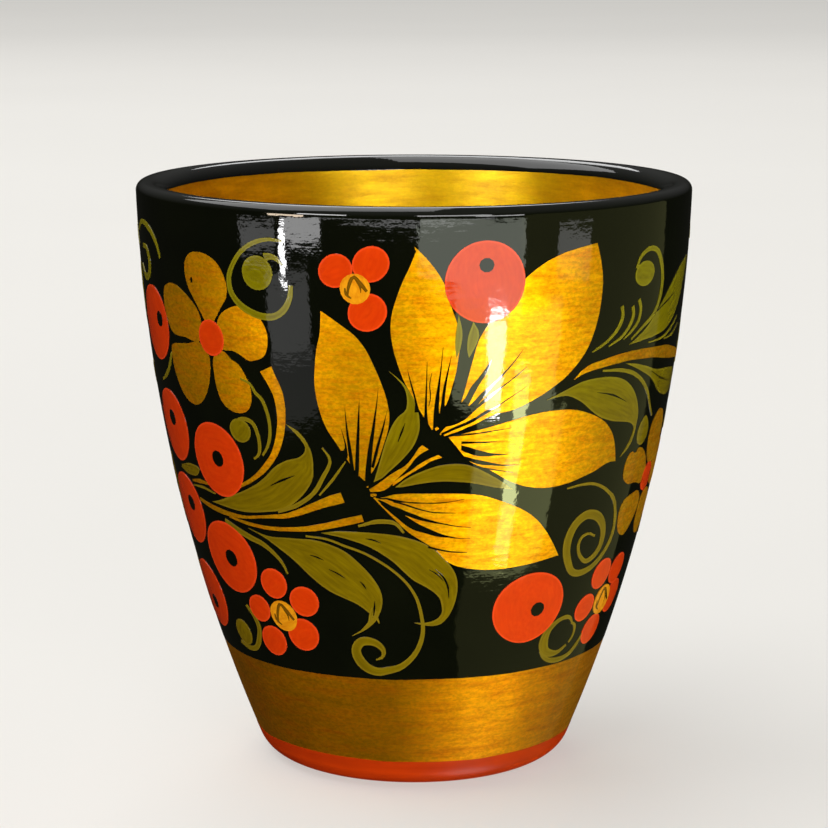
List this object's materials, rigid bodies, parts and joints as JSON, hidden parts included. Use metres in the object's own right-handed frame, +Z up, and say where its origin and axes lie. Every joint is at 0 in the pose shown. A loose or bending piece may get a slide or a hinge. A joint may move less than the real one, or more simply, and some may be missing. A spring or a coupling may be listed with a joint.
{
  "type": "painted wooden beaker",
  "caption": "Tall turned wooden beaker with a flared side, gold-washed inside, black lacquered outside and painted with gold leaves, red berries and green scrolls.",
  "frame": {"origin": "centre of the base, on the surface the beaker stands on", "axes": "+Z up along the turning axis, -Y towards the middle of the first repeat of the ornament, +X to its right"},
  "size_m": [0.0818, 0.0818, 0.0865],
  "materials": {
    "linden_wood": "bare turned linden, dried and primed, wholly under the coats",
    "gold_ground": "tin or aluminium powder under amber lacquer hardened in a kiln, which reads as old gold, with fine streaks",
    "gold_lining": "the same gold wash on the inside, glossy, with fine turning lines",
    "black_lacquer": "deep black oil paint under glossy lacquer",
    "foot_red": "glossy vermilion band round the foot",
    "gold_ornament": "bright gold with a fine speckled grain under glossy lacquer",
    "vermilion": "brushed vermilion oil paint under glossy lacquer",
    "amber": "stamped amber yellow, slightly see-through, under glossy lacquer",
    "olive_green": "olive green oil paint in single brush strokes under glossy lacquer"
  },
  "bodies": {
    "root": {"turned_body": "linden_wood", "gold_ground": "gold_ground", "gold_lining": "gold_lining", "black_field": "black_lacquer", "rim_band": "black_lacquer", "red_foot_band": "foot_red", "underside_coat": "black_lacquer", "gold_leaves": "gold_ornament", "gold_stems": "gold_ornament", "gold_petals": "gold_ornament", "flower_hearts": "vermilion", "red_berries": "vermilion", "berry_eyes": "black_lacquer", "red_petals": "vermilion", "amber_stamps": "amber", "green_leaves": "olive_green", "green_curls": "olive_green"}
  },
  "joints": []
}
